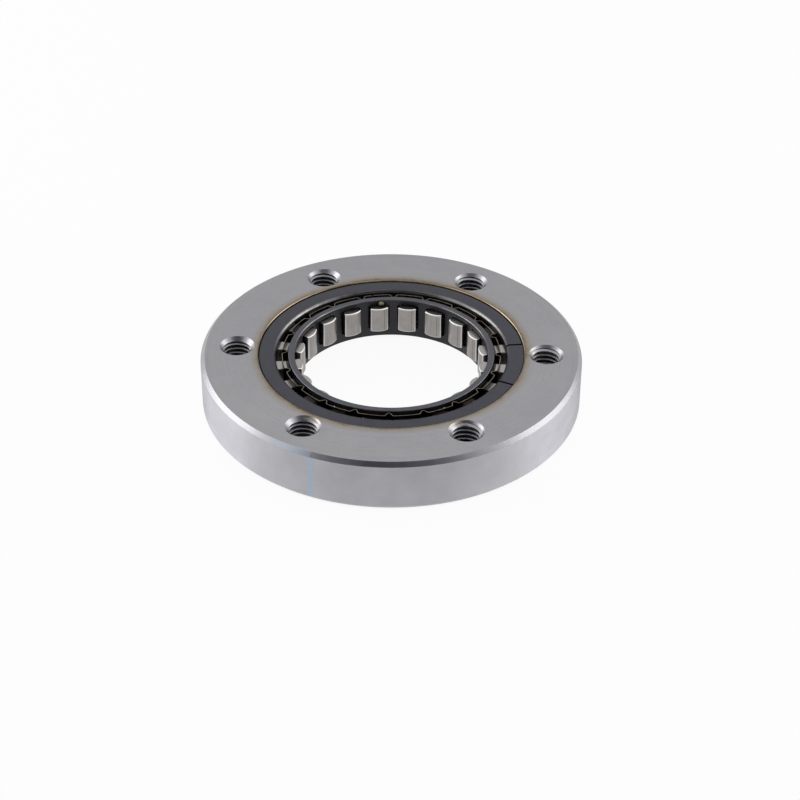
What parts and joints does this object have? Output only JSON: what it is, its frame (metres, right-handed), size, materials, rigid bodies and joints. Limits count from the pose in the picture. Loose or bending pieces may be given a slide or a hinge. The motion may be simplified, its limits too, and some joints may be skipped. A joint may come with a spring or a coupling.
{
  "type": "sprag clutch",
  "caption": "Flanged one-way clutch: a bolt-on steel ring with tapped holes, holding a double cage of spring-loaded sprags that grip a hub turned one way and let it run free the other way",
  "frame": {"origin": "centre of the outer ring's lower face, which is the bottom centre of the part", "axes": "+Z is the clutch's axis, from the plain face towards the face with the cage's flange; +X passes through one of the tapped holes"},
  "size_m": [0.096, 0.096, 0.0137],
  "materials": {
    "ring_steel": "turned and ground, satin",
    "cage_steel": "dark grey-blue phosphate",
    "spring_steel": "tempered brown-black spring strip",
    "sprag_steel": "tumbled bearing steel"
  },
  "bodies": {
    "outer_ring": {"housing": "ring_steel"},
    "cage_unit": {"outer_cage": "cage_steel", "ribbon_spring": "spring_steel"},
    "inner_cage": {"inner_cage": "cage_steel"},
    "sprag_01": {"sprag_01": "sprag_steel"},
    "sprag_02": {"sprag_02": "sprag_steel"},
    "sprag_03": {"sprag_03": "sprag_steel"},
    "sprag_04": {"sprag_04": "sprag_steel"},
    "sprag_05": {"sprag_05": "sprag_steel"},
    "sprag_06": {"sprag_06": "sprag_steel"},
    "sprag_07": {"sprag_07": "sprag_steel"},
    "sprag_08": {"sprag_08": "sprag_steel"},
    "sprag_09": {"sprag_09": "sprag_steel"},
    "sprag_10": {"sprag_10": "sprag_steel"},
    "sprag_11": {"sprag_11": "sprag_steel"},
    "sprag_12": {"sprag_12": "sprag_steel"},
    "sprag_13": {"sprag_13": "sprag_steel"},
    "sprag_14": {"sprag_14": "sprag_steel"},
    "sprag_15": {"sprag_15": "sprag_steel"},
    "sprag_16": {"sprag_16": "sprag_steel"},
    "sprag_17": {"sprag_17": "sprag_steel"},
    "sprag_18": {"sprag_18": "sprag_steel"},
    "sprag_19": {"sprag_19": "sprag_steel"},
    "sprag_20": {"sprag_20": "sprag_steel"}
  },
  "joints": [
    {"name": "cage_turn", "type": "hinge", "parent": "outer_ring", "child": "cage_unit", "pos_m": [0, 0, 0.0078], "axis": [0, 0, 1], "continuous": true},
    {"name": "inner_cage_shift", "type": "hinge", "parent": "cage_unit", "child": "inner_cage", "pos_m": [0, 0, 0.0078], "axis": [0, 0, 1], "range_deg": [0, 1.65], "stiffness_Nm_per_rad": 0.5, "springref_deg": -1.72},
    {"name": "sprag_01_tilt", "type": "hinge", "parent": "cage_unit", "child": "sprag_01", "pos_m": [0.02781, 0.00515, 0.0082], "axis": [0, 0, 1], "range_deg": [-13.52, 0]},
    {"name": "sprag_02_tilt", "type": "hinge", "parent": "cage_unit", "child": "sprag_02", "pos_m": [0.02485, 0.01349, 0.0082], "axis": [0, 0, 1], "range_deg": [-13.52, 0]},
    {"name": "sprag_03_tilt", "type": "hinge", "parent": "cage_unit", "child": "sprag_03", "pos_m": [0.01947, 0.02051, 0.0082], "axis": [0, 0, 1], "range_deg": [-13.52, 0]},
    {"name": "sprag_04_tilt", "type": "hinge", "parent": "cage_unit", "child": "sprag_04", "pos_m": [0.01218, 0.02552, 0.0082], "axis": [0, 0, 1], "range_deg": [-13.52, 0]},
    {"name": "sprag_05_tilt", "type": "hinge", "parent": "cage_unit", "child": "sprag_05", "pos_m": [0.00369, 0.02804, 0.0082], "axis": [0, 0, 1], "range_deg": [-13.52, 0]},
    {"name": "sprag_06_tilt", "type": "hinge", "parent": "cage_unit", "child": "sprag_06", "pos_m": [-0.00515, 0.02781, 0.0082], "axis": [0, 0, 1], "range_deg": [-13.52, 0]},
    {"name": "sprag_07_tilt", "type": "hinge", "parent": "cage_unit", "child": "sprag_07", "pos_m": [-0.01349, 0.02485, 0.0082], "axis": [0, 0, 1], "range_deg": [-13.52, 0]},
    {"name": "sprag_08_tilt", "type": "hinge", "parent": "cage_unit", "child": "sprag_08", "pos_m": [-0.02051, 0.01947, 0.0082], "axis": [0, 0, 1], "range_deg": [-13.52, 0]},
    {"name": "sprag_09_tilt", "type": "hinge", "parent": "cage_unit", "child": "sprag_09", "pos_m": [-0.02552, 0.01218, 0.0082], "axis": [0, 0, 1], "range_deg": [-13.52, 0]},
    {"name": "sprag_10_tilt", "type": "hinge", "parent": "cage_unit", "child": "sprag_10", "pos_m": [-0.02804, 0.00369, 0.0082], "axis": [0, 0, 1], "range_deg": [-13.52, 0]},
    {"name": "sprag_11_tilt", "type": "hinge", "parent": "cage_unit", "child": "sprag_11", "pos_m": [-0.02781, -0.00515, 0.0082], "axis": [0, 0, 1], "range_deg": [-13.52, 0]},
    {"name": "sprag_12_tilt", "type": "hinge", "parent": "cage_unit", "child": "sprag_12", "pos_m": [-0.02485, -0.01349, 0.0082], "axis": [0, 0, 1], "range_deg": [-13.52, 0]},
    {"name": "sprag_13_tilt", "type": "hinge", "parent": "cage_unit", "child": "sprag_13", "pos_m": [-0.01947, -0.02051, 0.0082], "axis": [0, 0, 1], "range_deg": [-13.52, 0]},
    {"name": "sprag_14_tilt", "type": "hinge", "parent": "cage_unit", "child": "sprag_14", "pos_m": [-0.01218, -0.02552, 0.0082], "axis": [0, 0, 1], "range_deg": [-13.52, 0]},
    {"name": "sprag_15_tilt", "type": "hinge", "parent": "cage_unit", "child": "sprag_15", "pos_m": [-0.00369, -0.02804, 0.0082], "axis": [0, 0, 1], "range_deg": [-13.52, 0]},
    {"name": "sprag_16_tilt", "type": "hinge", "parent": "cage_unit", "child": "sprag_16", "pos_m": [0.00515, -0.02781, 0.0082], "axis": [0, 0, 1], "range_deg": [-13.52, 0]},
    {"name": "sprag_17_tilt", "type": "hinge", "parent": "cage_unit", "child": "sprag_17", "pos_m": [0.01349, -0.02485, 0.0082], "axis": [0, 0, 1], "range_deg": [-13.52, 0]},
    {"name": "sprag_18_tilt", "type": "hinge", "parent": "cage_unit", "child": "sprag_18", "pos_m": [0.02051, -0.01947, 0.0082], "axis": [0, 0, 1], "range_deg": [-13.52, 0]},
    {"name": "sprag_19_tilt", "type": "hinge", "parent": "cage_unit", "child": "sprag_19", "pos_m": [0.02552, -0.01218, 0.0082], "axis": [0, 0, 1], "range_deg": [-13.52, 0]},
    {"name": "sprag_20_tilt", "type": "hinge", "parent": "cage_unit", "child": "sprag_20", "pos_m": [0.02804, -0.00369, 0.0082], "axis": [0, 0, 1], "range_deg": [-13.52, 0]}
  ],
  "couplings": [
    {"joint": "sprag_01_tilt", "follows": "inner_cage_shift", "ratio": -8.18},
    {"joint": "sprag_02_tilt", "follows": "inner_cage_shift", "ratio": -8.18},
    {"joint": "sprag_03_tilt", "follows": "inner_cage_shift", "ratio": -8.18},
    {"joint": "sprag_04_tilt", "follows": "inner_cage_shift", "ratio": -8.18},
    {"joint": "sprag_05_tilt", "follows": "inner_cage_shift", "ratio": -8.18},
    {"joint": "sprag_06_tilt", "follows": "inner_cage_shift", "ratio": -8.18},
    {"joint": "sprag_07_tilt", "follows": "inner_cage_shift", "ratio": -8.18},
    {"joint": "sprag_08_tilt", "follows": "inner_cage_shift", "ratio": -8.18},
    {"joint": "sprag_09_tilt", "follows": "inner_cage_shift", "ratio": -8.18},
    {"joint": "sprag_10_tilt", "follows": "inner_cage_shift", "ratio": -8.18},
    {"joint": "sprag_11_tilt", "follows": "inner_cage_shift", "ratio": -8.18},
    {"joint": "sprag_12_tilt", "follows": "inner_cage_shift", "ratio": -8.18},
    {"joint": "sprag_13_tilt", "follows": "inner_cage_shift", "ratio": -8.18},
    {"joint": "sprag_14_tilt", "follows": "inner_cage_shift", "ratio": -8.18},
    {"joint": "sprag_15_tilt", "follows": "inner_cage_shift", "ratio": -8.18},
    {"joint": "sprag_16_tilt", "follows": "inner_cage_shift", "ratio": -8.18},
    {"joint": "sprag_17_tilt", "follows": "inner_cage_shift", "ratio": -8.18},
    {"joint": "sprag_18_tilt", "follows": "inner_cage_shift", "ratio": -8.18},
    {"joint": "sprag_19_tilt", "follows": "inner_cage_shift", "ratio": -8.18},
    {"joint": "sprag_20_tilt", "follows": "inner_cage_shift", "ratio": -8.18}
  ]
}
